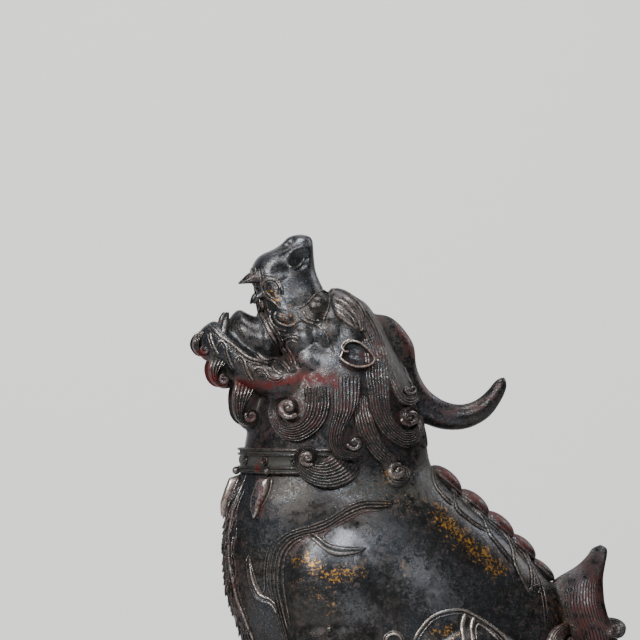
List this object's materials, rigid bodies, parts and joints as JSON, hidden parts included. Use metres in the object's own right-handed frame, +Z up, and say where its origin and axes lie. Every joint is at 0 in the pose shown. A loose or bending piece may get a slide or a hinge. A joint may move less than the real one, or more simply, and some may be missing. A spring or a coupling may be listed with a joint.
{
  "type": "seated horned guardian lion figure",
  "caption": "Seated cast bronze guardian lion with a curved horn, head thrown back, curled mane, collar and flame tail, on a low plinth.",
  "frame": {"origin": "middle of the plinth's underside, in the lion's median plane", "axes": "+Z up, the lion faces -X, +Y to its right, the median plane is Y = 0"},
  "size_m": [0.218, 0.132, 0.303],
  "materials": {
    "patinated_bronze": "hollow cast bronze with a near black brown patina, worn to a soft silvery sheen on the high places, with grey-green dust in the recesses, remains of red lacquer and flecks of gilding",
    "plinth_bronze": "cast bronze with the same near black brown patina, smooth, with worn edges"
  },
  "bodies": {
    "root": {"lion": "patinated_bronze", "plinth": "plinth_bronze"}
  },
  "joints": []
}
